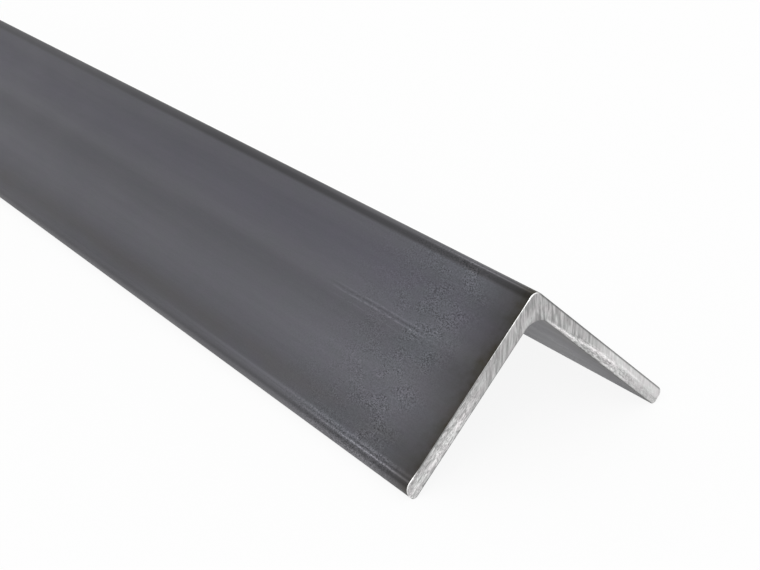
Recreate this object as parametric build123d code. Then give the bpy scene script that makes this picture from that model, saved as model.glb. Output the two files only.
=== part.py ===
"""Hot-rolled steel equal angle: one sawn length of plain stock.

Millimetres, +Z up. The angle stands like a roof: the heel is the ridge and the two toes
are on the floor. It runs along Y. The origin is on the floor under the ridge, at mid-length.
"""
from build123d import *

import os

# Driving dimensions
LEG = 50.0  # each leg, from the heel's corner to the toe
THICKNESS = 4.0  # wall of both legs
LENGTH = 500.0  # from one sawn end to the other
HEEL_RADIUS = 2.0  # outer corner between the legs
ROOT_RADIUS = 4.0  # inner corner between the legs
LEFT_TOE_RADIUS = 2.5  # outer edge of the left toe, rolled rounder than the right one
RIGHT_TOE_RADIUS = 1.5  # outer edge of the right toe
TOE_INNER_RADIUS = 1.0  # inner edge of both toes, which the angle stands on
TOE_FLAT = 0.2  # least flat between the two rounded edges of a toe
EDGE_BREAK = 0.25  # chamfer round both sawn ends

HEEL_UP = 45.0  # turn that brings the heel to the top, both legs sloping alike


def toe_outer_radius(radius):
    """A toe's outer radius, held to what the wall leaves beside its inner radius and flat."""
    return min(radius, THICKNESS - TOE_INNER_RADIUS - TOE_FLAT)


def rolled_profile():
    """The closed section, heel at the origin, left leg along -X and right leg along -Y."""
    corners = [
        ((0, 0), HEEL_RADIUS),
        ((-LEG, 0), toe_outer_radius(LEFT_TOE_RADIUS)),
        ((-LEG, -THICKNESS), TOE_INNER_RADIUS),
        ((-THICKNESS, -THICKNESS), ROOT_RADIUS),
        ((-THICKNESS, -LEG), TOE_INNER_RADIUS),
        ((0, -LEG), toe_outer_radius(RIGHT_TOE_RADIUS)),
    ]
    points = [point for point, _ in corners]
    radii = [radius for _, radius in corners]
    return make_face(FilletPolyline(*points, radius=radii, close=True))


def standing_profile():
    """The section turned heel up and lifted until both toes touch the floor line."""
    roof = Rot(0, 0, HEEL_UP) * rolled_profile()
    return Pos(0, -roof.bounding_box().min.Y) * roof


def sawn_length():
    """The section run out along Y, with the edges of both sawn ends broken."""
    bar = extrude(Plane.XZ * standing_profile(), LENGTH / 2, both=True)
    ends = bar.faces().sort_by(Axis.Y)
    return chamfer(ends[0].edges() + ends[-1].edges(), EDGE_BREAK)


os.makedirs("parts", exist_ok=True)
export_step(sawn_length(), "parts/angle_section.step")
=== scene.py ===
import math

import bmesh
import bpy
import numpy as np
from bpy.props import FloatProperty, FloatVectorProperty, IntProperty, PointerProperty
from mathutils import Euler, Matrix, Vector


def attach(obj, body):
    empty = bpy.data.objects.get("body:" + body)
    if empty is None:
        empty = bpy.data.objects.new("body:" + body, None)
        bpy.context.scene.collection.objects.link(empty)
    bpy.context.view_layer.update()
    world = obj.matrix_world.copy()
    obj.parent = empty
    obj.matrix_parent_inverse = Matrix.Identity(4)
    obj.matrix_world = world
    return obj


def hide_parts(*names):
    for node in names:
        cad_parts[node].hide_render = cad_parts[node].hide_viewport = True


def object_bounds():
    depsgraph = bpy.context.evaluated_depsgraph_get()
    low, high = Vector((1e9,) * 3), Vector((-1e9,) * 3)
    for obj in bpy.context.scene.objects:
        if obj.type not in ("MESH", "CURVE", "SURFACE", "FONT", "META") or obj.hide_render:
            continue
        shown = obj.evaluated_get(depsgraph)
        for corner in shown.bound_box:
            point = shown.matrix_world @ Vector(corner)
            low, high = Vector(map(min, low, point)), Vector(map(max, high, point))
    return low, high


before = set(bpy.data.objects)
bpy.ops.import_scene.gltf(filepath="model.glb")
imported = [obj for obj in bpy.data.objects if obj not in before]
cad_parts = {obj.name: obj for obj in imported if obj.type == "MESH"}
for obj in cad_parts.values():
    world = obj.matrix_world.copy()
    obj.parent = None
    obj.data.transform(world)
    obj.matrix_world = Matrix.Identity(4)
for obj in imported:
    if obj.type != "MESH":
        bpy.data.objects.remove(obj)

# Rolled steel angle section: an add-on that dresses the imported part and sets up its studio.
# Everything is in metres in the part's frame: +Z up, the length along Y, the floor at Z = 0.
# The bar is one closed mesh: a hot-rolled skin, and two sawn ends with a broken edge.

bl_info = {
    "name": "Rolled angle section",
    "version": (1, 0, 0),
    "blender": (4, 5, 0),
    "location": "3D View > Sidebar > Angle",
    "description": "Builds a sawn length of hot-rolled steel angle and its studio",
    "category": "Object",
}

CAD_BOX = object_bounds()
CAD_NODE = "angle_section"
PIECE_NAME = "rolled_angle"
MM = 0.001
TURN = 2.0 * math.pi
SLOPE = math.sqrt(0.5)  # both legs slope at 45 degrees
HALF_LENGTH = (CAD_BOX[1][1] - CAD_BOX[0][1]) / 2.0


# ---- Settings ----

def length(name, description, default):
    """A length setting, in metres."""
    return FloatProperty(name=name, description=description, default=default, min=0.0,
                         subtype="DISTANCE", unit="LENGTH", precision=5)


def colour(name, description, default):
    """A colour setting."""
    return FloatVectorProperty(name=name, description=description, default=default, size=3,
                               min=0.0, max=1.0, subtype="COLOR")


class AngleSizes(bpy.types.PropertyGroup):
    """Sizes of the rolled section and of its sawn ends."""
    leg: length("Leg", "From the heel's corner to either toe", 50.0 * MM)
    wall: length("Wall", "Thickness of both legs", 4.0 * MM)
    heel_radius: length("Heel radius", "Outer corner between the legs", 2.0 * MM)
    root_radius: length("Root radius", "Inner corner between the legs", 4.0 * MM)
    left_toe_radius: length("Left toe radius", "Outer edge of the left toe", 2.5 * MM)
    right_toe_radius: length("Right toe radius", "Outer edge of the right toe", 1.5 * MM)
    toe_inner_radius: length("Toe inner radius", "Inner edge of both toes", 1.0 * MM)
    edge_break: length("Edge break", "Widest broken edge round the sawn ends", 0.25 * MM)


class ReliefSettings(bpy.types.PropertyGroup):
    """Saw marks on the ends, and the rolls' lines and waves on the skin."""
    mark_pitch: length("Saw mark pitch", "Usual distance between saw marks", 0.55 * MM)
    mark_depth: length("Saw mark depth", "Depth of the deepest saw marks", 0.04 * MM)
    blade_radius: length("Blade radius", "Radius of the arcs that the saw left", 160.0 * MM)
    wave_depth: length("Roll wave depth", "Depth of the skin's shallow waves", 0.05 * MM)
    line_depth: length("Roll line depth", "Depth of the lines along heel and toes", 0.05 * MM)
    seed: IntProperty(name="Seed", description="Picks another pattern of marks", default=7)


class FinishSettings(bpy.types.PropertyGroup):
    """Colours of the mill scale and of the bare sawn steel."""
    scale: colour("Mill scale", "Blue-grey scale of the skin", (0.096, 0.0955, 0.111))
    # Between the legs the scale is painted lighter and greyer: painted fill light where the legs
    # shade the inside.
    inside: colour("Inside share", "Duller, greyer scale between the legs", (1.75, 1.74, 1.62))
    stain: colour("Cut stain", "Share of the scale's colour left beside a cut", (0.35, 0.31, 0.20))
    steel: colour("Sawn steel", "Bare steel of the ends", (0.62, 0.615, 0.612))
    # A near-white painted highlight along the broken edge, where it would catch the light.
    polish: colour("Polished edge", "Bright edge that the saw left", (0.97, 0.97, 0.96))
    burr: colour("Burr", "Dark edge that the saw rolled over", (0.12, 0.12, 0.12))


class StudioSettings(bpy.types.PropertyGroup):
    """Floor, light and camera."""
    floor: colour("Floor", "Plain pale floor", (0.96, 0.96, 0.96))
    floor_glow: FloatProperty(name="Floor glow", default=0.90, min=0.0, max=1.0,
                              description="Share of plain white where the floor is seen",
                              subtype="FACTOR")
    floor_size: length("Floor size", "Side of the square floor", 12.0)
    sky: FloatProperty(name="Sky light", description="Even light from all round",
                       default=0.75, min=0.0)
    key: FloatProperty(name="Key light", description="Strength of the soft key lamp",
                       default=0.9, min=0.0)
    key_spread: FloatProperty(name="Key spread", description="Angle that the key lamp fills",
                              default=math.radians(40.0), subtype="ANGLE")


# ---- Section ----
# Points are (u, v): heel corner at the origin, left leg along -u, right leg along -v.
# Columns run along the outside from the left toe over the heel to the right toe, and each
# has its partner on the inside.

ARC_STEPS = 24
FLAT_STEPS = 304
WALL_STEPS = 24
LAST_COLUMN = 2 * FLAT_STEPS + 3 * ARC_STEPS
HEEL_COLUMN = LAST_COLUMN // 2
FINE_COLUMNS = 2 * ARC_STEPS  # from either toe's tip, where the skin keeps every column
FINE_HEEL_COLUMNS = 28  # and to both sides of the heel's middle
SKIN_STRIDE = 4  # elsewhere the skin keeps every fourth column
WALL_STRIDE = 6  # and every sixth point across a toe


def corner(centre, radius, start, end, convex=True):
    """Points and outward normals of one rounded corner, angles in turns."""
    angles = TURN * np.linspace(start, end, ARC_STEPS + 1)
    radial = np.stack([np.cos(angles), np.sin(angles)], axis=1)
    return np.array(centre) + radius * radial, radial if convex else -radial


def side(corners):
    """One side of the section: its corners with the flats between them."""
    points, normals = [corners[0][0]], [corners[0][1]]
    steps = np.linspace(0.0, 1.0, FLAT_STEPS + 1)[1:-1, None]
    for (here, here_normals), (there, there_normals) in zip(corners, corners[1:]):
        flat = here[-1] + (there[0] - here[-1]) * steps
        points += [flat, there]
        normals += [np.tile(here_normals[-1], (len(flat), 1)), there_normals]
    return np.concatenate(points), np.concatenate(normals)


def outer_side(sizes):
    """Left toe, heel and right toe, along the outside of both legs."""
    left, right, heel = sizes.left_toe_radius, sizes.right_toe_radius, sizes.heel_radius
    return side([
        corner((left - sizes.leg, -left), left, 0.5, 0.25),
        corner((-heel, -heel), heel, 0.25, 0.0),
        corner((-right, right - sizes.leg), right, 0.0, -0.25),
    ])


def inner_side(sizes):
    """Left toe, root and right toe, along the inside of both legs."""
    toe, wall = sizes.toe_inner_radius, sizes.wall
    root = wall + sizes.root_radius
    return side([
        corner((toe - sizes.leg, toe - wall), toe, 0.5, 0.75),
        corner((-root, -root), sizes.root_radius, 0.25, 0.0, convex=False),
        corner((toe - wall, toe - sizes.leg), toe, 0.5, 0.75),
    ])


def across_wall(outer, inner):
    """Values from the outside to the inside, in even steps for every column."""
    steps = np.linspace(0.0, 1.0, WALL_STEPS + 1)
    steps = steps[None, :, None] if outer.ndim > 1 else steps[None, :]
    return outer[:, None] + (inner - outer)[:, None] * steps


def rim_places(columns_outside, columns_inside, wall_stride):
    """Grid places of the rim: outside, right toe, inside and left toe."""
    toe = range(wall_stride, WALL_STEPS, wall_stride)
    outside = [(column, 0) for column in columns_outside]
    right_toe = [(LAST_COLUMN, place) for place in toe]
    inside = [(column, WALL_STEPS) for column in reversed(columns_inside)]
    left_toe = [(0, place) for place in reversed(toe)]
    return outside + right_toe + inside + left_toe


def fine_rim():
    """Every place of the rim."""
    columns = range(LAST_COLUMN + 1)
    return rim_places(columns, columns, 1)


def skin_rim():
    """The places that the skin keeps: all along heel and toes outside, fewer elsewhere."""
    columns = np.arange(LAST_COLUMN + 1)
    near_tip = np.minimum(columns, LAST_COLUMN - columns) <= FINE_COLUMNS
    near_heel = abs(columns - HEEL_COLUMN) <= FINE_HEEL_COLUMNS
    coarse = columns % SKIN_STRIDE == 0
    return rim_places(columns[near_tip | near_heel | coarse], columns[coarse], WALL_STRIDE)


def at_rim(grid, places):
    """The grid's values at the rim places."""
    columns, depths = zip(*places)
    return grid[list(columns), list(depths)]


def rim_between(outer, inner, places):
    """Values at the rim places, going from the outside's to the inside's at the toes."""
    return at_rim(across_wall(outer, inner), places)


def section_rim(sizes):
    """Points and outward normals at every place of the rim."""
    return [rim_between(outer, inner, fine_rim())
            for outer, inner in zip(outer_side(sizes), inner_side(sizes))]


def stand_height(sizes):
    """Height of the heel's corner when both toes stand on the floor."""
    toe_drop = (2.0 - math.sqrt(2.0)) * sizes.toe_inner_radius
    return (sizes.leg + sizes.wall - toe_drop) * SLOPE


def in_frame(points, y, height):
    """Section points at the place y, in the part's frame."""
    u, v = points[..., 0], points[..., 1]
    return np.stack([(u - v) * SLOPE, np.full(u.shape, y), (u + v) * SLOPE + height], axis=-1)


def smooth_step(value, low, high):
    """Smoothly from nothing at the low place to one at the high one."""
    t = np.clip((value - low) / (high - low), 0.0, 1.0)
    return t * t * (3.0 - 2.0 * t)


def smooth_fall(value, low, high):
    """Smoothly from one at the low place to nothing at the high one."""
    return 1.0 - smooth_step(value, low, high)


def smooth_within(value, low, top, end, high):
    """One between the top places, falling smoothly to nothing at the outer ones."""
    return smooth_step(value, low, top) * smooth_fall(value, end, high)


def uneven(count, knots, seed):
    """A random run of values between 0 and 1, straight between its knots."""
    values = np.random.default_rng(seed).random(knots)
    return np.interp(np.linspace(0.0, knots - 1.0, count), np.arange(knots), values)


def along_legs(points):
    """The points' left and right: how far they are from the heel's corner along each leg."""
    return -points[:, 0], -points[:, 1]


# ---- Sawn face ----
# Its marks, tone and broken edge change along both legs. Runs are pairs of the place along a
# leg in mm and the value there. Depths are shares of the wall, from the outside.

BLADE_SIDE = Vector((0.70, -0.714)).normalized()  # from the blade's centre to the heel

# Strength of the saw marks, and how far the right leg's outer half is rubbed smooth
LEFT_MARKS = ((0.0, 0.62), (6.0, 0.58), (13.0, 0.40), (24.0, 0.42), (31.0, 0.66), (50.0, 0.60))
RIGHT_MARKS = ((0.0, 0.60), (12.0, 0.58), (18.0, 0.75), (30.0, 0.70), (38.0, 0.42), (43.0, 0.27))
RIGHT_RUBBED = ((14.0, 0.0), (16.5, 0.8), (19.5, 0.8), (21.0, 0.3), (23.5, 0.8), (50.0, 0.75))
RUBBED_DEPTHS = (0.35, 0.60)

# Share of drag marks along a leg, on the right one only inside a seam that slopes outwards
LEFT_DRAG = ((5.0, 0.0), (11.0, 0.22), (20.0, 0.42), (34.0, 0.95))
RIGHT_DRAG = ((7.0, 0.0), (13.0, 1.0))
SEAM_DEPTHS = (0.86, 0.36)
SEAM_SLOPE = (0.14, 0.55)  # where it slopes, as shares of the leg
SEAM_SOFTNESS = 0.1

# Brightness at the heel, and what each leg adds to it, all over and in its bright band
HEEL_BRIGHTNESS = 0.72
LEFT_TONE = ((22.0, 0.0), (32.0, 0.92), (40.0, 0.95), (46.0, 0.70))
RIGHT_TONE = ((13.0, 0.0), (22.0, 0.10), (29.0, 0.90), (50.0, 0.95))
LEFT_TONES, LEFT_BAND = (0.13, 0.34), (0.38, 0.56, 0.62, 0.86)
RIGHT_TONES, RIGHT_BAND = (0.16, 0.22), (0.45, 0.65)

# Smears on the right leg: half width in mm, strength, and places along it and from outside
SMEARS = (
    (0.28, 0.9, ((7.5, 3.75), (13.0, 3.40), (19.0, 3.05), (21.5, 2.60), (25.0, 2.30),
                 (31.0, 2.10))),
    (0.20, 0.4, ((32.5, 1.60), (36.0, 1.50), (41.0, 1.75))),
    (0.20, 0.2, ((12.0, 3.75), (19.0, 3.70), (25.0, 3.45), (38.0, 3.65))),
)
SMEAR_STARTS = (1.0 * MM, 2.0 * MM)  # how far before and after its first place one starts
SMEAR_END = 2.0 * MM

# The broken edge: its width as a share of the widest, its painted highlight and its dark burr
LEFT_WIDTH = ((0.0, 1.0), (2.0, 0.9), (5.0, 0.55), (28.0, 0.4), (44.5, 0.4), (47.0, 0.8))
LEAST_WIDTH = 0.85
WIDTH_KNOTS = 40
LEFT_EDGE_HIGHLIGHT = ((2.0, 1.0), (4.5, 0.6), (9.0, 0.35), (14.0, 0.15), (20.0, 0.0), (45.0, 0.0),
               (46.5, 0.7), (48.8, 0.8), (50.0, 0.2))
RIGHT_EDGE_HIGHLIGHT_END = (0.5 * MM, 1.8 * MM)
LEFT_BURR = ((11.0, 0.0), (20.0, 0.45), (30.0, 0.85), (44.0, 0.90), (46.0, 0.0))
LEFT_INNER_BURR = ((3.0, 0.0), (8.0, 0.50), (16.0, 0.90), (50.0, 1.0))
RIGHT_BURR = ((0.6, 0.0), (2.2, 0.85), (48.0, 0.80), (49.9, 0.45))
LEFT_BURR_FADE = (0.10 * MM, 0.32 * MM)  # from the outside, where the burr ends on the face
RIGHT_BURR_FADE = (0.20 * MM, 0.50 * MM)
INNER_BURR_FADE = (0.0, 0.50 * MM)  # and from the inside
RIGHT_INNER_SHADE = 0.3
INNER_BREAK = (0.7, 0.8)  # width inside both legs, and burr inside the right one


def run(places, knots):
    """The run's value at each place, level before its first knot and after its last."""
    at, values = np.array(knots).T
    return np.interp(places, MM * at, values)


def blade_marks(left, right, radius, end):
    """Across and along the blade's arcs, and which end."""
    across_centre = right + radius * BLADE_SIDE.x
    below_centre = left + radius * BLADE_SIDE.y
    across = np.hypot(across_centre, below_centre) - radius
    heading = np.arctan2(below_centre, across_centre)
    along = radius * (heading - math.atan2(BLADE_SIDE.y, BLADE_SIDE.x))
    return np.stack([across, along, np.full_like(left, end)], axis=1)


def leg_marks(left, right, end):
    """Across the wall and along the nearer leg, and which end."""
    nearer = [np.minimum(left, right), np.maximum(left, right), np.full_like(left, end)]
    return np.stack(nearer, axis=1)


def drag_share(left, right, sizes):
    """How far the drag marks along the leg take over from the blade's arcs."""
    first, last = SEAM_DEPTHS
    seam = first + (last - first) * smooth_step(right / sizes.leg, *SEAM_SLOPE)
    inside_seam = smooth_step(left / sizes.wall, seam - SEAM_SOFTNESS, seam + SEAM_SOFTNESS)
    return np.where(left > right, run(left, LEFT_DRAG), run(right, RIGHT_DRAG) * inside_seam)


def mark_strength(left, right, sizes):
    """How strong the marks are. The outer half of the right leg is rubbed smooth."""
    rubbed = run(right, RIGHT_RUBBED) * smooth_fall(left / sizes.wall, *RUBBED_DEPTHS)
    return np.where(left > right, run(left, LEFT_MARKS), run(right, RIGHT_MARKS) * (1.0 - rubbed))


def steel_tone(left, right, sizes):
    """Broad brightness of the sawn steel, with one bright band along each leg."""
    left_band = smooth_within(right / sizes.wall, *LEFT_BAND)
    right_band = smooth_fall(left / sizes.wall, *RIGHT_BAND)
    on_left = run(left, LEFT_TONE) * (LEFT_TONES[0] + LEFT_TONES[1] * left_band)
    on_right = run(right, RIGHT_TONE) * (RIGHT_TONES[0] + RIGHT_TONES[1] * right_band)
    return HEEL_BRIGHTNESS + np.where(left > right, on_left, on_right)


def smear_share(left, right):
    """The bright smears along the right leg."""
    before, after = SMEAR_STARTS
    total = np.zeros_like(left)
    for half_width, strength, path in SMEARS:
        places, depths = MM * np.array(path).T
        first, last = places[0], places[-1]
        from_middle = (left - np.interp(right, places, depths)) / (MM * half_width)
        ends = smooth_within(right, first - before, first + after, last, last + SMEAR_END)
        total = np.maximum(total, strength * np.exp(-from_middle ** 2) * ends)
    return total * (right > left)


def edge_burr(left, right, sizes):
    """The dark edge that the saw rolled over, outside and inside both legs."""
    inside = smooth_fall(sizes.wall - np.minimum(left, right), *INNER_BURR_FADE)
    on_left = np.maximum(run(left, LEFT_BURR) * smooth_fall(right, *LEFT_BURR_FADE),
                         run(left, LEFT_INNER_BURR) * inside)
    on_right = np.maximum(run(right, RIGHT_BURR) * smooth_fall(left, *RIGHT_BURR_FADE),
                          RIGHT_INNER_SHADE * inside)
    return np.where(left > right, on_left, on_right)


def edge_shares(left, right, outside, seed):
    """The broken edge along one side: share of the full width, burr and painted highlight."""
    on_left = left > right
    uneven_width = LEAST_WIDTH + (1.0 - LEAST_WIDTH) * uneven(len(left), WIDTH_KNOTS, seed)
    if not outside:
        width, right_burr = INNER_BREAK
        burr = np.where(on_left, run(left, LEFT_INNER_BURR), right_burr)
        return width * uneven_width, burr, np.zeros_like(left)
    width = np.where(on_left, run(left, LEFT_WIDTH), 1.0)
    burr = np.where(on_left, run(left, LEFT_BURR), run(right, RIGHT_BURR))
    polish = np.where(on_left, run(left, LEFT_EDGE_HIGHLIGHT), smooth_fall(right, *RIGHT_EDGE_HIGHLIGHT_END))
    return width * uneven_width, burr, polish


# ---- Bar mesh ----

CLOSE_ROWS = (0.08 * MM, 0.30 * MM)  # skin rows just behind a sawn edge, on every column
FIRST_SKIN_ROW = 0.8 * MM
END_ROW_STEP = 1.2 * MM
MIDDLE_ROW_STEP = 8.0 * MM
ROW_GROWTH = 1.12
FACE_STEPS = (0.5, 1.0)  # rows of the broken edge, as shares of its width
SAWN_ON_BREAK = 0.6  # how deep the saw marks still are at the top of the broken edge
FAR_END_SEED = 10  # added to the seed at the far end
WAVES_FROM_HEEL = (1.5, 4.0)  # heel radii from the heel's corner, where the waves start
WAVES_FROM_TOE = (3.0 * MM, 7.0 * MM)
WAVES_FROM_CUT = (1.0 * MM, 12.0 * MM)
LINES_FROM_CUT = (0.5 * MM, 3.0 * MM)


class BarMesh:
    """Collects the bar's points with their attributes, and its faces."""
    VECTORS = ("inward", "marks", "leg_marks", "girth")
    NUMBERS = ("sawn", "drag", "strength", "tone", "smear", "burr", "polish", "rolled", "lined")

    def __init__(self):
        self.points, self.faces, self.sawn_faces = [], [], []
        self.values = {name: [] for name in self.VECTORS + self.NUMBERS}

    def add_points(self, points, **values):
        """Add points, with a value or a row of values for each attribute. Returns their numbers."""
        first, count = sum(map(len, self.points)), len(points)
        self.points.append(points)
        for name, rows in self.values.items():
            shape = (count, 3) if name in self.VECTORS else (count,)
            rows.append(np.broadcast_to(np.asarray(values.get(name, 0.0), float), shape))
        return np.arange(first, first + count)

    def add_faces(self, corners, sawn):
        """Add faces, all of sawn steel or all of skin."""
        self.faces += np.asarray(corners).tolist()
        self.sawn_faces += [sawn] * len(corners)

    def add_grid(self, numbers, sawn):
        """Quads over a grid of points."""
        corners = [numbers[:-1, :-1], numbers[1:, :-1], numbers[1:, 1:], numbers[:-1, 1:]]
        self.add_faces(np.stack(corners, axis=-1).reshape(-1, 4), sawn)

    def add_band(self, ring, next_ring, sawn):
        """Quads between two rings of as many points."""
        corners = [ring, np.roll(ring, -1), np.roll(next_ring, -1), next_ring]
        self.add_faces(np.stack(corners, axis=1), sawn)

    def add_fans(self, fine, coarse, starts):
        """Triangles from a fine ring to a coarse one whose points stand at the starts."""
        ends = starts[1:] + [len(fine)]
        fans = []
        for k, (start, end) in enumerate(zip(starts, ends)):
            here, there = coarse[k], coarse[(k + 1) % len(coarse)]
            middle = (start + end) // 2
            for f in range(start, end):
                fans.append([fine[f], fine[(f + 1) % len(fine)], here if f < middle else there])
            fans.append([fine[middle], there, here])
        self.add_faces(fans, False)

    def to_mesh(self, name):
        """Write the mesh, turned outwards, smooth and with its attributes."""
        mesh = bpy.data.meshes.new(name)
        mesh.from_pydata(np.concatenate(self.points).tolist(), [], self.faces)
        turn_outwards(mesh)
        for value, rows in self.values.items():
            add_attribute(mesh, value, "POINT", np.concatenate(rows))
        add_attribute(mesh, "sawn_face", "FACE", np.array(self.sawn_faces))
        mesh.shade_smooth()
        return mesh


def add_attribute(mesh, name, domain, values):
    """One number or vector for each point or face."""
    kind, field = ("FLOAT_VECTOR", "vector") if values.ndim > 1 else ("FLOAT", "value")
    layer = mesh.attributes.new(name, kind, domain)
    layer.data.foreach_set(field, values.astype(np.float32).ravel())


def turn_outwards(mesh):
    """Make every face of a closed mesh point outwards."""
    work = bmesh.new()
    work.from_mesh(mesh)
    bmesh.ops.recalc_face_normals(work, faces=work.faces)
    work.to_mesh(mesh)
    work.free()


def skin_places(edge_break):
    """Places along Y of the skin's rows, close together near the cuts."""
    places = [HALF_LENGTH - edge_break - FIRST_SKIN_ROW]
    step = END_ROW_STEP
    while places[-1] > step:
        places.append(places[-1] - step)
        step = min(step * ROW_GROWTH, MIDDLE_ROW_STEP)
    places[-1] = 0.0
    return [-place for place in places] + places[-2::-1]


def rim_girth(sizes):
    """For each rim point: way round from the heel's middle, way past the toe's edge, inside."""
    outer, inner = outer_side(sizes)[0], inner_side(sizes)[0]
    steps = np.hypot(*np.diff(outer, axis=0).T)
    from_start = np.concatenate([[0.0], np.cumsum(steps)])
    from_heel = np.abs(from_start - from_start[HEEL_COLUMN])
    on_left = np.arange(LAST_COLUMN + 1) < HEEL_COLUMN
    toe_edge = np.where(on_left, from_heel[ARC_STEPS], from_heel[LAST_COLUMN - ARC_STEPS])
    across = np.hypot(*(inner - outer).T)
    toe_width = np.where(on_left, across[0], across[-1])
    outside = np.stack([from_heel, from_heel - toe_edge, np.zeros(len(outer))], axis=1)
    inside = outside + np.stack([toe_width, toe_width, np.ones(len(outer))], axis=1)
    return rim_between(outside, inside, fine_rim())


def sawn_values(points, sizes, relief, sign):
    """What the saw left at points of one cut."""
    end = 0.0 if sign < 0 else 1.0
    legs = along_legs(points)
    return dict(inward=(0.0, -sign, 0.0), marks=blade_marks(*legs, relief.blade_radius, end),
                leg_marks=leg_marks(*legs, end), drag=drag_share(*legs, sizes),
                strength=mark_strength(*legs, sizes), tone=steel_tone(*legs, sizes),
                smear=smear_share(*legs))


def add_face(bar, face, sizes, relief, sign, height):
    """The flat of one cut. Returns its rim."""
    flat = face.reshape(-1, 2)
    burr = edge_burr(*along_legs(flat), sizes)
    numbers = bar.add_points(in_frame(flat, sign * HALF_LENGTH, height), sawn=1.0, burr=burr,
                             **sawn_values(flat, sizes, relief, sign))
    numbers = numbers.reshape(face.shape[:2])
    bar.add_grid(numbers, True)
    return at_rim(numbers, fine_rim())


def add_end(bar, sizes, relief, sign, height, girth):
    """One sawn end, on the sign's side, with its edge. Returns the skin's last fine ring."""
    (outer, outer_normals), (inner, inner_normals) = outer_side(sizes), inner_side(sizes)
    seed = relief.seed if sign < 0 else relief.seed + FAR_END_SEED
    outer_edge = edge_shares(*along_legs(outer), True, seed)
    inner_edge = edge_shares(*along_legs(inner), False, seed + 1)
    face = across_wall(outer - sizes.edge_break * outer_edge[0][:, None] * outer_normals,
                       inner - sizes.edge_break * inner_edge[0][:, None] * inner_normals)
    ring = add_face(bar, face, sizes, relief, sign, height)
    rim, normals = section_rim(sizes)
    width, burr, polish = (rim_between(outside, inside, fine_rim())
                           for outside, inside in zip(outer_edge, inner_edge))
    width = sizes.edge_break * width
    for step in FACE_STEPS:
        points = rim - ((1.0 - step) * width)[:, None] * normals
        y = sign * (HALF_LENGTH - step * width)
        row = bar.add_points(in_frame(points, y, height), sawn=(1.0 - step) * SAWN_ON_BREAK,
                             burr=burr, polish=polish, **sawn_values(points, sizes, relief, sign))
        bar.add_band(ring, row, True)
        ring = row
    for depth in CLOSE_ROWS:
        y = sign * (HALF_LENGTH - sizes.edge_break - depth)
        row = bar.add_points(in_frame(rim, y, height), girth=girth)
        bar.add_band(ring, row, False)
        ring = row
    return ring


def rolled_share(points, sizes):
    """Where the skin may wave: on the flats, away from heel and toes."""
    along = np.maximum(*along_legs(points))
    from_heel = smooth_step(along / sizes.heel_radius, *WAVES_FROM_HEEL)
    return from_heel * smooth_step(sizes.leg - along, *WAVES_FROM_TOE)


def bar_mesh(sizes, relief):
    """The whole bar before its relief."""
    height = stand_height(sizes)
    bar = BarMesh()
    girth = rim_girth(sizes)
    front = add_end(bar, sizes, relief, -1.0, height, girth)
    back = add_end(bar, sizes, relief, 1.0, height, girth)
    numbers = {place: number for number, place in enumerate(fine_rim())}
    starts = [numbers[place] for place in skin_rim()]
    rim, normals = (values[starts] for values in section_rim(sizes))
    inward = -in_frame(normals, 0.0, 0.0)
    rolled = rolled_share(rim, sizes)
    rings = []
    for y in skin_places(sizes.edge_break):
        from_cut = HALF_LENGTH - abs(y)
        rings.append(bar.add_points(
            in_frame(rim, y, height), inward=inward, girth=girth[starts],
            rolled=rolled * smooth_step(from_cut, *WAVES_FROM_CUT),
            lined=smooth_step(from_cut, *LINES_FROM_CUT)))
    bar.add_fans(front, rings[0], starts)
    for ring, next_ring in zip(rings, rings[1:]):
        bar.add_band(ring, next_ring, False)
    bar.add_fans(back, rings[-1], starts)
    return bar.to_mesh(PIECE_NAME)


# ---- Node helpers ----

class Value:
    """A number, vector or colour in a node tree. Sums written with it become nodes."""

    def __init__(self, socket):
        self.socket = socket
        self.tree = socket.id_data

    def __add__(self, other):
        return calc("ADD", self, other)

    def __sub__(self, other):
        return calc("SUBTRACT", self, other)

    def __mul__(self, other):
        return calc("MULTIPLY", self, other)

    def __truediv__(self, other):
        return calc("DIVIDE", self, other)

    __radd__, __rmul__ = __add__, __mul__


def put(socket, value):
    """Link a value in, or set the plain number, vector or colour."""
    if isinstance(value, Value):
        value.tree.links.new(value.socket, socket)
    else:
        socket.default_value = value


def add_node(tree, kind, inputs=None, **settings):
    """A new node with its settings, and its inputs linked or set."""
    node = tree.nodes.new(kind)
    for name, value in settings.items():
        setattr(node, name, value)
    for key, value in (inputs or {}).items():
        put(node.inputs[key], value)
    return node


def worked_out(kind, inputs, output=0, **settings):
    """What a new node makes of its inputs, in the tree of the first value among them."""
    tree = next(value.tree for value in inputs.values() if isinstance(value, Value))
    return Value(add_node(tree, kind, inputs, **settings).outputs[output])


def calc(operation, *values, clamp=False):
    """One sum in a Math node."""
    return worked_out("ShaderNodeMath", dict(enumerate(values)), operation=operation,
                      use_clamp=clamp)


def ease(value, low, high, start=0.0, end=1.0):
    """Smoothly from start to end as the value goes from low to high."""
    inputs = {"Value": value, "From Min": low, "From Max": high, "To Min": start, "To Max": end}
    return worked_out("ShaderNodeMapRange", inputs, interpolation_type="SMOOTHSTEP")


def within(value, low, top, end, high):
    """One between the top places, falling smoothly to nothing at the outer ones."""
    return ease(value, low, top) * ease(value, high, end)


def ridge(value, middle, half_width):
    """One at the middle, falling smoothly to nothing at the half width."""
    return ease(calc("ABSOLUTE", value - middle), 0.0, half_width, 1.0, 0.0)


def fading(value, kept):
    """One up to nothing, and then this much of it kept over each unit of the value."""
    return calc("POWER", kept, value, clamp=True)


def blend(factor, first, second):
    """From the first number to the second. Mix sockets go by number, as names repeat."""
    return worked_out("ShaderNodeMix", {0: factor, 2: first, 3: second})


def opaque(tint):
    """A plain colour with its alpha, and a value as it is."""
    return tint if isinstance(tint, Value) else (*tint, 1.0)


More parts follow.
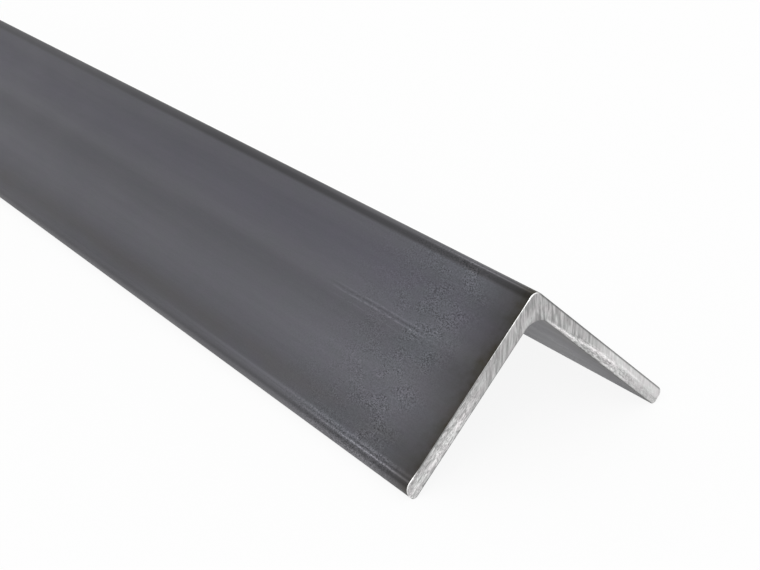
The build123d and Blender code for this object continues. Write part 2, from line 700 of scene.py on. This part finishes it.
def blend_colours(factor, first, second):
    """From the first colour to the second."""
    inputs = {0: factor, 6: opaque(first), 7: opaque(second)}
    return worked_out("ShaderNodeMix", inputs, 2, data_type="RGBA")


def times(first, second):
    """Two vectors or colours multiplied number by number, or one of them times a value."""
    return worked_out("ShaderNodeVectorMath", {0: first, 1: second}, operation="MULTIPLY")


def parts(vector):
    """The three numbers of a vector."""
    node = add_node(vector.tree, "ShaderNodeSeparateXYZ", {0: vector})
    return [Value(number) for number in node.outputs]


def noise(vector, sizes, detail=2.0, roughness=0.5, distortion=0.0):
    """Noise from 0 to 1 whose spots have the given sizes."""
    inputs = {"Vector": times(vector, [1.0 / size for size in sizes]), "Scale": 1.0,
              "Detail": detail, "Roughness": roughness, "Distortion": distortion}
    return worked_out("ShaderNodeTexNoise", inputs)


def swing(value, reach):
    """How far noise is from its middle, times the reach."""
    return (value - 0.5) * reach


def around(value, strength):
    """A factor that swings about one as the noise swings about its middle."""
    return swing(value, 2.0 * strength) + 1.0


# ---- Saw marks, for both the relief and the steel's colour ----

BLADE_STRETCH = 9.0  # a mark's length in pitches
DRAG_STRETCH = 4.0
DRAG_PITCH_SHARE = 0.85
END_SEED_STEP = 31.0  # keeps the two ends' marks apart
END_APART = 0.1  # and their other noise, as its third size
DRAG_PATCHES = (2.0 * MM, 3.0 * MM, END_APART)


def mark_noise(marks, pitch, stretch, seed, distortion):
    """Noise drawn out along the marks."""
    across, along, end = parts(marks)
    vector = {0: across / pitch, 1: along / (pitch * stretch), 2: end * END_SEED_STEP + seed}
    return noise(worked_out("ShaderNodeCombineXYZ", vector), (1.0, 1.0, 1.0), 2.0, 0.55, distortion)


def saw_marks(marks, along_leg, drag, pitch, seed):
    """The saw's marks, from nothing to full: arcs of the blade, and drag marks along a leg."""
    blade = mark_noise(marks, pitch, BLADE_STRETCH, seed, 0.3)
    dragged = mark_noise(along_leg, pitch * DRAG_PITCH_SHARE, DRAG_STRETCH, seed, 1.4)
    uneven_drag = swing(noise(along_leg, DRAG_PATCHES), 1.2) + drag
    return ease(blend(ease(uneven_drag, 0.2, 0.8), blade, dragged), 0.36, 0.64)


# ---- Relief in Geometry Nodes ----

WAVE_SIZES = (7.0 * MM, 160.0 * MM, 7.0 * MM)
HEEL_GROOVE = (2.0 * MM, 0.9 * MM)  # middle, from the heel's middle, and half width
TOE_GROOVES = ((0.80 * MM, 0.65 * MM), (-0.40 * MM, 0.30 * MM))  # past the toe's edge
RELIEF_INPUTS = {"Bar": "Geometry", "Mark pitch": "Float", "Mark depth": "Float",
                 "Wave depth": "Float", "Line depth": "Float", "Seed": "Int",
                 "Skin": "Material", "Sawn steel": "Material"}


def named(tree, name):
    """An attribute of the bar."""
    kind = "FLOAT_VECTOR" if name in BarMesh.VECTORS else "FLOAT"
    node = add_node(tree, "GeometryNodeInputNamedAttribute", {"Name": name}, data_type=kind)
    return Value(node.outputs["Attribute"])


def saw_depth(tree, pitch, seed):
    """How deep the saw has cut, from nothing to full."""
    depth = saw_marks(named(tree, "marks"), named(tree, "leg_marks"), named(tree, "drag"),
                      pitch, seed)
    return depth * named(tree, "sawn") * named(tree, "strength")


def skin_depth(tree, wave_depth, line_depth):
    """Depth of the rolls' waves and of the lines along heel and toes."""
    place = Value(add_node(tree, "GeometryNodeInputPosition").outputs[0])
    waves = ease(noise(place, WAVE_SIZES, 1.0), 0.3, 0.7) * named(tree, "rolled") * wave_depth
    from_heel, past_toe, inside = parts(named(tree, "girth"))
    lines = ridge(from_heel, *HEEL_GROOVE)
    for groove in TOE_GROOVES:
        lines += ridge(past_toe, *groove)
    outside = calc("SUBTRACT", 1.0, inside, clamp=True)
    return waves + lines * outside * named(tree, "lined") * line_depth


def relief_tree():
    """Sinks saw marks into the ends, and lines and waves into the skin."""
    tree = bpy.data.node_groups.new("saw_and_roll_relief", "GeometryNodeTree")
    for name, kind in RELIEF_INPUTS.items():
        tree.interface.new_socket(name, in_out="INPUT", socket_type="NodeSocket" + kind)
    tree.interface.new_socket("Bar", in_out="OUTPUT", socket_type="NodeSocketGeometry")
    sockets = add_node(tree, "NodeGroupInput").outputs
    given = {socket.name: Value(socket) for socket in sockets}

    cut = saw_depth(tree, given["Mark pitch"], given["Seed"]) * given["Mark depth"]
    depth = cut + skin_depth(tree, given["Wave depth"], given["Line depth"])
    offset = times(named(tree, "inward"), depth)
    moved = worked_out("GeometryNodeSetPosition", {"Geometry": given["Bar"], "Offset": offset})
    real = worked_out("GeometryNodeRealizeInstances", {0: moved})
    skin = worked_out("GeometryNodeSetMaterial", {"Geometry": real, "Material": given["Skin"]})
    ends = worked_out("GeometryNodeSetMaterial",
                      {"Geometry": skin, "Material": given["Sawn steel"],
                       "Selection": named(tree, "sawn_face")})
    add_node(tree, "NodeGroupOutput", {0: ends})
    return tree


def new_object(name, data):
    """A new object in the scene."""
    made = bpy.data.objects.new(name, data)
    bpy.context.scene.collection.objects.link(made)
    return made


def apply_tree(base, tree, values):
    """The base mesh after the tree, as a plain mesh."""
    carrier = new_object(base.name + "_base", base)
    modifier = carrier.modifiers.new("relief", "NODES")
    modifier.node_group = tree
    for item in tree.interface.items_tree:
        if item.in_out == "INPUT" and item.name in values:
            modifier[item.identifier] = values[item.name]
    depsgraph = bpy.context.evaluated_depsgraph_get()
    mesh = bpy.data.meshes.new_from_object(carrier.evaluated_get(depsgraph),
                                           preserve_all_data_layers=True, depsgraph=depsgraph)
    carrier.modifiers.remove(modifier)
    bpy.data.objects.remove(carrier)
    return mesh


# ---- Materials ----
# Places on the skin are in mm here: along the object, round from the heel's middle, past the
# toe's edge and from the nearer cut.

WHITE = (1.0, 1.0, 1.0)

SKIN_NOISES = {  # spot size across and along the bar, detail, roughness and distortion
    "streaks": (1.6, 60.0, 2.0),
    "clouds": (11.0, 30.0, 3.0),
    "hairs": (0.35, 5.0, 2.0, 0.6),
    "pores": (0.4, 0.5, 2.0),
    "worn places": (3.5, 30.0, 2.0),
    "band sway": (40.0, 60.0, 1.0),
    "specks": (0.28, 0.46, 2.0, 0.6, 0.8),
    "speck streaks": (0.40, 4.0, 1.0),
    "speck patches": (3.2, 6.5, 3.0),
    "scratch gaps": (0.4, 1.5, 3.0),
    "scratch sway": (4.0, 8.0, 1.0),
    "tint clouds": (9.0, 26.0, 2.0),
    "mottle": (3.0, 6.0, 1.0),
    "stain edge": (12.0, 22.0, 3.0),
    "stain fringe": (1.8, 1.8, 3.0),
    "burnt patches": (3.5, 2.0, 1.0),
}

PAINTED_SHEEN_BANDS = (  # painted highlight and shade bands of the skin's reflections: middle and half width, from the heel's middle, and strength
    (8.5, 5.5, -0.09), (18.0, 3.6, 0.09), (19.6, 1.4, 0.03), (22.8, 3.2, -0.06),
    (32.5, 8.5, 0.16), (43.3, 5.5, -0.15),
)
BAND_SWAY = 2.4
SCRATCHES = (  # on the left leg
    (19.95, 0.32, 0.46), (19.30, 0.32, -0.26), (18.75, 0.30, 0.28), (21.60, 0.30, 0.18),
)
SCRATCH_SWAY = 0.6
SCRATCH_RUN = (11.0, 28.0, 48.0, 63.0)  # from the near end

HEEL_EDGE = (2.8, 1.8)  # where a leg's flat turns into the heel
TOE_EDGE = (-1.8, 1.8)
# Painted highlight and shade lines along the heel, from its middle, and along the toes, past
# their edge: a step or a ridge and its place, the run from a cut where it grows, and its strength
# before and after.
HEEL_SHADING_LINES = (
    (ease, HEEL_EDGE, (230.0, 90.0), (-0.22, -0.50)),
    (ease, (1.1, 0.40), (150.0, 30.0), (0.0, 0.42)),
    (ridge, (0.48, 0.30), (46.0, 12.0), (0.0, 0.75)),
)
TOE_SHADING_LINES = (
    (ridge, (0.85, 0.75), (150.0, 30.0), (-0.09, -0.29)),
    (ridge, (-0.58, 0.35), (75.0, 15.0), (0.0, -0.32)),
    (ridge, (-1.15, 0.45), (150.0, 30.0), (0.0, 0.20)),
    (ridge, (-0.85, 1.2), (150.0, 30.0), (0.0, 0.30)),
    (ease, (1.0, 1.9), (75.0, 15.0), (0.10, 0.32)),
)
TOE_GLINT = (0.0, 0.33)  # the painted glint along a toe's edge
GLINT_GROWTH = (55.0, 0.0, 0.0, 1.6)  # towards a cut
GLINT_DROP = (1.0, 7.0, 0.55, 1.0)  # and right beside it

FROST_RUN, FROST = (6.0, 16.0, 25.0, 95.0), 0.13  # from a cut: a slightly brighter stretch
PEAK_RUN, PEAK = (20.0, 9.0), 0.05
DULLING = (60.0, 190.0, 1.0, 0.90)
SPECK_RUN = (5.5, 20.0, 20.0, 75.0)
SPECK_PEAK = 20.0
SPECKS_KEPT = 0.965  # over each mm past their peak
SPECKS = (0.035, 0.16, 0.48)  # everywhere, near a cut, and there in patches
TOE_SPECK_RUN = (1.0, 12.0, 25.0, 62.0)
TOE_SPECKS = (-1.8, -1.2, 0.0, 0.50)
STAIN_KEPT = 0.83  # over each mm from a cut
STAIN_SWINGS = (9.0, 4.0)  # how far its edge swings, broadly and finely
STAIN_RISE = (22.0, 45.0, 0.0, 1.6)  # from the heel: how much sooner it ends at the toes
BURNT_RUN = (4.5, 1.5)  # dark patches inside, beside the cut

BLUE = (1.0, 1.0, 0.98)
VIOLET, VIOLET_BAND = (1.01, 0.995, 1.03), (10.5, 10.0)
OLIVE, OLIVE_BAND = (1.02, 1.0, 0.92), (43.0, 4.5)
GREEN, GREEN_RUN = (0.975, 1.01, 0.99), (70.0, 10.0)
GREY = (1.01, 1.0, 0.94)
MOTTLES = ((0.99, 1.004, 0.99), (1.01, 0.996, 1.01))
SCALE_ROUGHNESS = (0.44, 0.58)

STEEL_TINTS = ((1.01, 0.99, 1.0), (0.985, 1.0, 0.995))
FINE_MARKS = (0.17 * MM, 18.0)  # pitch and stretch
FLECKS = (0.24 * MM, 5.0)
STEEL_CLOUDS = (1.6 * MM, 4.0 * MM, END_APART)
STEEL_RAGS = (0.35 * MM, 0.9 * MM, END_APART)
BRIGHTEST = 1.55
STEEL_ROUGHNESS = (0.34, 0.50)


def new_material(name):
    """An empty material and its node tree."""
    material = bpy.data.materials.new(name)
    material.use_nodes = True
    material.node_tree.nodes.clear()
    return material, material.node_tree


def surface_with(tree, inputs):
    """A surface whose shader has these inputs."""
    return Value(add_node(tree, "ShaderNodeBsdfPrincipled", inputs).outputs[0])


def show(surface):
    """Let the material show the surface."""
    add_node(surface.tree, "ShaderNodeOutputMaterial", {"Surface": surface})


def carried(tree, name):
    """An attribute of the bar, in a material."""
    output = "Vector" if name in BarMesh.VECTORS else "Fac"
    return Value(add_node(tree, "ShaderNodeAttribute", attribute_name=name).outputs[output])


def bumps(height, strength, distance):
    """Fine bumps for a shader's normal."""
    inputs = {"Strength": strength, "Distance": distance, "Height": height}
    return worked_out("ShaderNodeBump", inputs)


def skin_noise(place, name):
    """One of the skin's noises."""
    across, along, *shape = SKIN_NOISES[name]
    return noise(place, (across, along, across), *shape)


def add_bands(tone, from_heel, bands):
    """The tone with soft bands or lines along the legs added to it."""
    for middle, half_width, strength in bands:
        tone += ridge(from_heel, middle, half_width) * strength
    return tone


def painted_edge_shading(from_heel, past_toe, from_cut):
    """Painted highlights and shade along heel and toes, standing in for the light on their
    rounding, clearest near a cut.
    """
    tone = 1.0
    for across, lines in ((from_heel, HEEL_SHADING_LINES), (past_toe, TOE_SHADING_LINES)):
        for shape, place, growth, strengths in lines:
            tone += shape(across, *place) * ease(from_cut, *growth, *strengths)
    glint = ease(from_cut, *GLINT_GROWTH) * ease(from_cut, *GLINT_DROP)
    return tone + ridge(past_toe, *TOE_GLINT) * glint


def tone_along(from_cut):
    """Slightly brighter a little way from a cut, and duller far from both."""
    frosted = within(from_cut, *FROST_RUN) * FROST + ridge(from_cut, *PEAK_RUN) * PEAK
    return ease(from_cut, *DULLING) + frosted


def scale_grain(place, past_toe, from_cut):
    """Fine light and dark specks, strongest a little way from a cut and in patches."""
    patches = ease(skin_noise(place, "speck patches"), 0.40, 0.62)
    near = within(from_cut, *SPECK_RUN) * fading(from_cut - SPECK_PEAK, SPECKS_KEPT)
    at_toe = ease(past_toe, *TOE_SPECKS) * within(from_cut, *TOE_SPECK_RUN)
    everywhere, near_cut, in_patches = SPECKS
    strength = calc("MAXIMUM", near * (patches * in_patches + near_cut), at_toe) + everywhere
    specks = ease(skin_noise(place, "specks"), 0.32, 0.68)
    return around(specks, strength) * around(skin_noise(place, "speck streaks"), near * 0.10)


def scratched(tone, place, from_heel):
    """The tone with broken light and dark scratches along the left leg, near one end."""
    x, y, _ = parts(place)
    gaps = ease(skin_noise(place, "scratch gaps"), 0.37, 0.50) * calc("LESS_THAN", x, 0.0)
    swayed = from_heel + swing(skin_noise(place, "scratch sway"), SCRATCH_SWAY)
    lines = add_bands(0.0, swayed, SCRATCHES) * gaps
    return tone + lines * within(y + HALF_LENGTH / MM, *SCRATCH_RUN)


def scale_tint(place, from_heel, swayed, past_toe, from_cut):
    """Slightly violet, olive and green places on the blue-grey scale, and greyer heel and toes."""
    clouds = skin_noise(place, "tint clouds")
    olive = ridge(swayed, *OLIVE_BAND) * ease(clouds, 0.25, 0.55)
    green = ease(from_cut, *GREEN_RUN) * ease(clouds, 0.40, 0.65)
    mottle = ease(skin_noise(place, "mottle"), 0.30, 0.70)
    grey = calc("MAXIMUM", ease(from_heel, *HEEL_EDGE), ease(past_toe, *TOE_EDGE))
    tint = blend_colours(ridge(swayed, *VIOLET_BAND), BLUE, VIOLET)
    tint = blend_colours(green, blend_colours(olive, tint, OLIVE), GREEN)
    return blend_colours(grey, times(tint, blend_colours(mottle, *MOTTLES)), GREY)


def cut_stain(place, from_heel, inside, from_cut):
    """How much the heat and the oil of the saw have stained, from full at a cut to nothing."""
    edge = swing(skin_noise(place, "stain edge"), STAIN_SWINGS[0])
    fringe = swing(skin_noise(place, "stain fringe"), STAIN_SWINGS[1])
    stain = fading(edge + fringe + ease(from_heel, *STAIN_RISE) + from_cut, STAIN_KEPT)
    patches = ease(skin_noise(place, "burnt patches"), 0.42, 0.58)
    on_inside = calc("MAXIMUM", stain, ease(from_cut, *BURNT_RUN) * patches) * 0.5
    return blend(inside, stain, on_inside)


def mill_scale(finish):
    """Dark blue-grey scale with painted highlight and shade bands and lines, painted fill light
    between the legs, fine grain and stained cuts.
    """
    material, tree = new_material("mill_scale")
    place = times(Value(add_node(tree, "ShaderNodeTexCoord").outputs["Object"]), [1.0 / MM] * 3)
    from_cut = calc("SUBTRACT", HALF_LENGTH / MM, calc("ABSOLUTE", parts(place)[1]))
    girth = times(carried(tree, "girth"), [1.0 / MM, 1.0 / MM, 1.0])
    from_heel, past_toe, inside = parts(girth)
    swayed = from_heel + swing(skin_noise(place, "band sway"), BAND_SWAY)
    clouds, hairs = skin_noise(place, "clouds"), skin_noise(place, "hairs")

    # Painted highlight and shade bands and lines on the outside, with real scratches over them.
    painted_shading_and_scratches = add_bands(1.0, swayed, PAINTED_SHEEN_BANDS) * painted_edge_shading(from_heel, past_toe, from_cut)
    painted_shading_and_scratches = scratched(painted_shading_and_scratches, place, from_heel)
    grain = around(skin_noise(place, "streaks"), 0.08) * around(clouds, 0.10) * around(hairs, 0.06)
    worn = around(skin_noise(place, "worn places"), inside * 0.30)
    tone = (grain * worn * scale_grain(place, past_toe, from_cut) * tone_along(from_cut)
            * blend(inside, painted_shading_and_scratches, 1.0))
    tint = scale_tint(place, from_heel, swayed, past_toe, from_cut)
    # Between the legs the scale takes the painted fill light of finish.inside, lighter and greyer
    # than outside.
    tint = times(finish.scale, blend_colours(inside, tint, finish.inside))
    stain = blend_colours(cut_stain(place, from_heel, inside, from_cut), WHITE, finish.stain)

    show(surface_with(tree, {
        "Base Color": times(times(tint, stain), tone),
        "Metallic": 0.4,
        "Specular IOR Level": 0.2,
        "Roughness": ease(clouds, 0.2, 0.8, *SCALE_ROUGHNESS),
        "Normal": bumps(hairs + skin_noise(place, "pores"), 0.35, 0.03 * MM),
    }))
    return material


def sawn_steel(finish, relief):
    """Bare steel, darker and lighter along the saw marks, with a painted highlight and dark burrs
    on the broken edge.
    """
    material, tree = new_material("sawn_steel")
    seed = float(relief.seed)
    marks, along_leg = carried(tree, "marks"), carried(tree, "leg_marks")
    strength = carried(tree, "strength")
    coarse = saw_marks(marks, along_leg, carried(tree, "drag"), relief.mark_pitch, seed)
    fine = mark_noise(marks, *FINE_MARKS, seed, 0.3)
    clouds = noise(along_leg, STEEL_CLOUDS, 3.0)
    ragged = ease(noise(along_leg, STEEL_RAGS, 3.0, 0.7, 1.0), 0.30, 0.50)
    flecks = mark_noise(marks, *FLECKS, seed + 3.0, 0.5)
    dark_flecks = ease(flecks, 0.62, 0.70) * strength
    light_flecks = ease(flecks, 0.38, 0.31) * strength

    tone = carried(tree, "tone") * around(clouds, 0.16) * around(fine, 0.38)
    tone *= around(coarse, strength * -0.5)
    tone *= (dark_flecks * -0.5 + 1.0) * (light_flecks * 0.4 + 1.0)
    tone = calc("MINIMUM", tone + carried(tree, "smear") * ragged * 0.75, BRIGHTEST)
    tint = times(finish.steel, blend_colours(ease(clouds, 0.35, 0.65), *STEEL_TINTS))
    # The broken edge is blended towards the painted highlight colour.
    base = blend_colours(carried(tree, "polish"), times(tint, tone), finish.polish)
    base = blend_colours(carried(tree, "burr"), base, finish.burr)

    show(surface_with(tree, {
        "Base Color": base,
        "Metallic": 1.0,
        "Roughness": ease(clouds, 0.3, 0.7, *STEEL_ROUGHNESS),
        "Normal": bumps(fine, 0.4, 0.02 * MM),
    }))
    return material


# ---- Studio ----

CAMERA_PLACE = Vector((-0.1897, -0.4945, 0.1780))
CAMERA_AZIMUTH = math.radians(31.86)  # of the view, from +Y towards +X
CAMERA_PITCH = math.radians(24.0)  # below level
CAMERA_ROLL = math.radians(-3.59)
CAMERA_LENS = 77.8
KEY_AIM = Euler((math.radians(48.0), 0.0, math.radians(-38.0)))


def seen_share(tree):
    """One for what the camera sees, straight or by mirror or glass, and none for light."""
    path = add_node(tree, "ShaderNodeLightPath").outputs
    camera, glossy, clear = (Value(path[f"Is {kind} Ray"])
                             for kind in ("Camera", "Glossy", "Transmission"))
    return calc("MAXIMUM", calc("MAXIMUM", camera, glossy), clear)


def plain_floor(studio):
    """A large pale floor that keeps the bar's shadow."""
    half = studio.floor_size / 2.0
    corners = [(-half, -half, 0.0), (half, -half, 0.0), (half, half, 0.0), (-half, half, 0.0)]
    mesh = bpy.data.meshes.new("floor")
    mesh.from_pydata(corners, [], [(0, 1, 2, 3)])
    floor = new_object("floor", mesh)
    material, tree = new_material("floor")
    dull = surface_with(tree, {"Base Color": opaque(studio.floor), "Roughness": 0.9,
                               "Specular IOR Level": 0.1})
    glow = add_node(tree, "ShaderNodeEmission", {"Color": opaque(WHITE), "Strength": 1.0})
    shares = {0: seen_share(tree) * studio.floor_glow, 1: dull, 2: Value(glow.outputs[0])}
    show(worked_out("ShaderNodeMixShader", shares))
    mesh.materials.append(material)


def even_sky(studio):
    """Even light from all round, white where it is seen or mirrored."""
    world = bpy.data.worlds.new("studio")
    world.use_nodes = True
    tree = world.node_tree
    tree.nodes.clear()
    strength = blend(seen_share(tree), studio.sky, 1.0)
    back = worked_out("ShaderNodeBackground", {"Color": opaque(WHITE), "Strength": strength})
    add_node(tree, "ShaderNodeOutputWorld", {"Surface": back})
    bpy.context.scene.world = world


def key_lamp(studio):
    """One broad soft lamp, high in front on the left."""
    lamp = bpy.data.lights.new("key", "SUN")
    lamp.energy = studio.key
    lamp.angle = studio.key_spread
    new_object("key", lamp).rotation_euler = KEY_AIM


def studio_camera():
    """The camera, in front of the near end on the left, looking down the bar."""
    camera = bpy.data.cameras.new("camera")
    camera.lens = CAMERA_LENS
    holder = new_object("camera", camera)
    rolled = Matrix.Rotation(CAMERA_ROLL, 4, "Z")
    pitched = Matrix.Rotation(TURN / 4.0 - CAMERA_PITCH, 4, "X") @ rolled
    turned = Matrix.Rotation(-CAMERA_AZIMUTH, 4, "Z") @ pitched
    holder.matrix_world = Matrix.Translation(CAMERA_PLACE) @ turned
    bpy.context.scene.camera = holder


# ---- Operators, panel and registration ----

class ANGLE_OT_rolled_bar(bpy.types.Operator):
    """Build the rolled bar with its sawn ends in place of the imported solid"""
    bl_idname = "angle.rolled_bar"
    bl_label = "Rolled bar"

    def execute(self, context):
        scene = context.scene
        relief, finish = scene.angle_relief, scene.angle_finish
        base = bar_mesh(scene.angle_sizes, relief)
        mesh = apply_tree(base, relief_tree(), {
            "Mark pitch": relief.mark_pitch,
            "Mark depth": relief.mark_depth,
            "Wave depth": relief.wave_depth,
            "Line depth": relief.line_depth,
            "Seed": relief.seed,
            "Skin": mill_scale(finish),
            "Sawn steel": sawn_steel(finish, relief),
        })
        mesh.name = PIECE_NAME
        bar = new_object(PIECE_NAME, mesh)
        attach(bar, "root")
        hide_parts(CAD_NODE)
        return {"FINISHED"}


class ANGLE_OT_studio(bpy.types.Operator):
    """Set up the floor, the light and the camera"""
    bl_idname = "angle.studio"
    bl_label = "Studio"

    def execute(self, context):
        studio = context.scene.angle_studio
        plain_floor(studio)
        even_sky(studio)
        key_lamp(studio)
        studio_camera()
        context.scene.view_settings.view_transform = "Standard"
        return {"FINISHED"}


class ANGLE_PT_sidebar(bpy.types.Panel):
    """Settings and operators of the rolled angle"""
    bl_idname = "ANGLE_PT_sidebar"
    bl_label = "Rolled angle"
    bl_space_type = "VIEW_3D"
    bl_region_type = "UI"
    bl_category = "Angle"

    def draw(self, context):
        scene = context.scene
        for name, group in GROUPS.items():
            box = self.layout.box()
            for setting in group.__annotations__:
                box.prop(getattr(scene, name), setting)
        for operator in OPERATORS:
            self.layout.operator(operator.bl_idname)


GROUPS = {"angle_sizes": AngleSizes, "angle_relief": ReliefSettings,
          "angle_finish": FinishSettings, "angle_studio": StudioSettings}
OPERATORS = (ANGLE_OT_rolled_bar, ANGLE_OT_studio)
CLASSES = (*GROUPS.values(), *OPERATORS, ANGLE_PT_sidebar)


def register():
    """Register the settings, operators and panel."""
    for cls in CLASSES:
        bpy.utils.register_class(cls)
    for name, group in GROUPS.items():
        setattr(bpy.types.Scene, name, PointerProperty(type=group))


def unregister():
    """Remove them again."""
    for name in GROUPS:
        delattr(bpy.types.Scene, name)
    for cls in reversed(CLASSES):
        bpy.utils.unregister_class(cls)


def main():
    """Build everything."""
    register()
    bpy.ops.angle.rolled_bar()
    bpy.ops.angle.studio()


if __name__ == "__main__":
    main()
